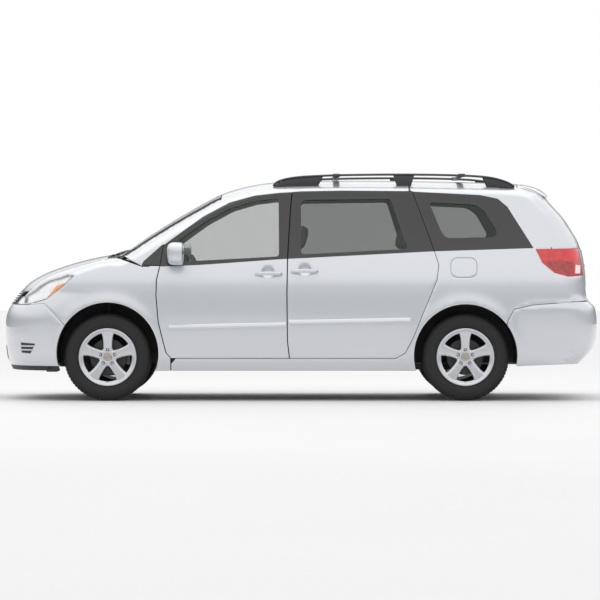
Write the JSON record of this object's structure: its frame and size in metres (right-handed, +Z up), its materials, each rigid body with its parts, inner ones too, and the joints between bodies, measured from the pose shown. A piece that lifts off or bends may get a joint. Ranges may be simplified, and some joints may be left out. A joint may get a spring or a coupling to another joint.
{
  "type": "minivan",
  "caption": "Full-size family minivan in pale silver with hinged doors, hood, tailgate and fuel flap, steering and rolling wheels.",
  "frame": {"origin": "on the floor under the middle of the car", "axes": "-X is the nose, +Z is up, -Y is the car's own left side"},
  "size_m": [4.9188, 2.289, 1.862],
  "materials": {
    "paint": "gloss",
    "black_plastic": "matte",
    "seal_rubber": "matte",
    "clear_glass": "gloss",
    "privacy_glass": "gloss",
    "lamp_clear": "gloss",
    "lamp_red": "gloss",
    "underbody": "satin",
    "cast_metal": "matte",
    "exhaust_steel": "satin",
    "alloy": "satin",
    "tyre_rubber": "matte",
    "seat_fabric": "matte"
  },
  "bodies": {
    "body": {"floor_pan": "underbody", "front_bumper": "paint", "rear_bumper": "paint", "front_fender_left": "paint", "front_fender_right": "paint", "body_side_left": "paint", "body_side_right": "paint", "roof_panel": "paint", "cowl_panel": "black_plastic", "windscreen": "clear_glass", "grille": "black_plastic", "headlamps": "lamp_clear", "tail_lamps": "lamp_red", "sliding_door_left": "paint", "sliding_door_right": "paint", "rear_side_glass": "privacy_glass", "roof_rack": "black_plastic", "door_seals": "seal_rubber", "arch_liners": "black_plastic", "front_suspension": "underbody", "rear_axle": "underbody", "engine_block": "cast_metal", "exhaust": "exhaust_steel", "fuel_tank": "black_plastic", "dashboard": "black_plastic", "front_seats": "seat_fabric", "rear_seats": "seat_fabric"},
    "hood": {"hood": "paint"},
    "front_door_left": {"front_door_left": "paint", "front_glass_left": "clear_glass", "door_mirror_left": "paint"},
    "front_door_right": {"front_door_right": "paint", "front_glass_right": "clear_glass", "door_mirror_right": "paint"},
    "tailgate": {"tailgate": "paint", "tailgate_glass": "privacy_glass", "roof_spoiler": "paint"},
    "fuel_flap": {"fuel_flap": "paint"},
    "knuckle_left": {"steering_knuckle_left": "cast_metal"},
    "knuckle_right": {"steering_knuckle_right": "cast_metal"},
    "front_wheel_left": {"front_wheel_left": "alloy", "front_tyre_left": "tyre_rubber"},
    "front_wheel_right": {"front_wheel_right": "alloy", "front_tyre_right": "tyre_rubber"},
    "rear_wheel_left": {"rear_wheel_left": "alloy", "rear_tyre_left": "tyre_rubber"},
    "rear_wheel_right": {"rear_wheel_right": "alloy", "rear_tyre_right": "tyre_rubber"},
    "steering_wheel": {"steering_wheel": "black_plastic"}
  },
  "joints": [
    {"name": "hood_hinge", "type": "hinge", "parent": "body", "child": "hood", "pos_m": [-1.579, 0, 1.194], "axis": [0, 1, 0], "range_deg": [0, 55]},
    {"name": "front_door_left_hinge", "type": "hinge", "parent": "body", "child": "front_door_left", "pos_m": [-1.172, -0.967, 0.9], "axis": [0, 0, -1], "range_deg": [0, 65]},
    {"name": "front_door_right_hinge", "type": "hinge", "parent": "body", "child": "front_door_right", "pos_m": [-1.172, 0.967, 0.9], "axis": [0, 0, 1], "range_deg": [0, 65]},
    {"name": "tailgate_hinge", "type": "hinge", "parent": "body", "child": "tailgate", "pos_m": [1.791, 0, 1.79], "axis": [0, -1, 0], "range_deg": [0, 85]},
    {"name": "fuel_flap_hinge", "type": "hinge", "parent": "body", "child": "fuel_flap", "pos_m": [1.2315, -0.948, 1.087], "axis": [0, 0, -1], "range_deg": [0, 100]},
    {"name": "steer_left", "type": "hinge", "parent": "body", "child": "knuckle_left", "pos_m": [-1.57, -0.745, 0.357], "axis": [0, 0, 1], "range_deg": [-33, 33]},
    {"name": "steer_right", "type": "hinge", "parent": "body", "child": "knuckle_right", "pos_m": [-1.57, 0.745, 0.357], "axis": [0, 0, 1], "range_deg": [-33, 33]},
    {"name": "front_wheel_left_spin", "type": "hinge", "parent": "knuckle_left", "child": "front_wheel_left", "pos_m": [-1.57, -0.812, 0.357], "axis": [0, 1, 0], "continuous": true},
    {"name": "front_wheel_right_spin", "type": "hinge", "parent": "knuckle_right", "child": "front_wheel_right", "pos_m": [-1.57, 0.812, 0.357], "axis": [0, 1, 0], "continuous": true},
    {"name": "rear_wheel_left_spin", "type": "hinge", "parent": "body", "child": "rear_wheel_left", "pos_m": [1.35, -0.812, 0.357], "axis": [0, 1, 0], "continuous": true},
    {"name": "rear_wheel_right_spin", "type": "hinge", "parent": "body", "child": "rear_wheel_right", "pos_m": [1.35, 0.812, 0.357], "axis": [0, 1, 0], "continuous": true},
    {"name": "steering_wheel_turn", "type": "hinge", "parent": "body", "child": "steering_wheel", "pos_m": [-0.87, -0.39, 1], "axis": [0.8829, 0, 0.4695], "range_deg": [-465, 465]}
  ],
  "couplings": [
    {"joint": "steer_right", "follows": "steer_left", "ratio": 1},
    {"joint": "steering_wheel_turn", "follows": "steer_left", "ratio": 14}
  ]
}
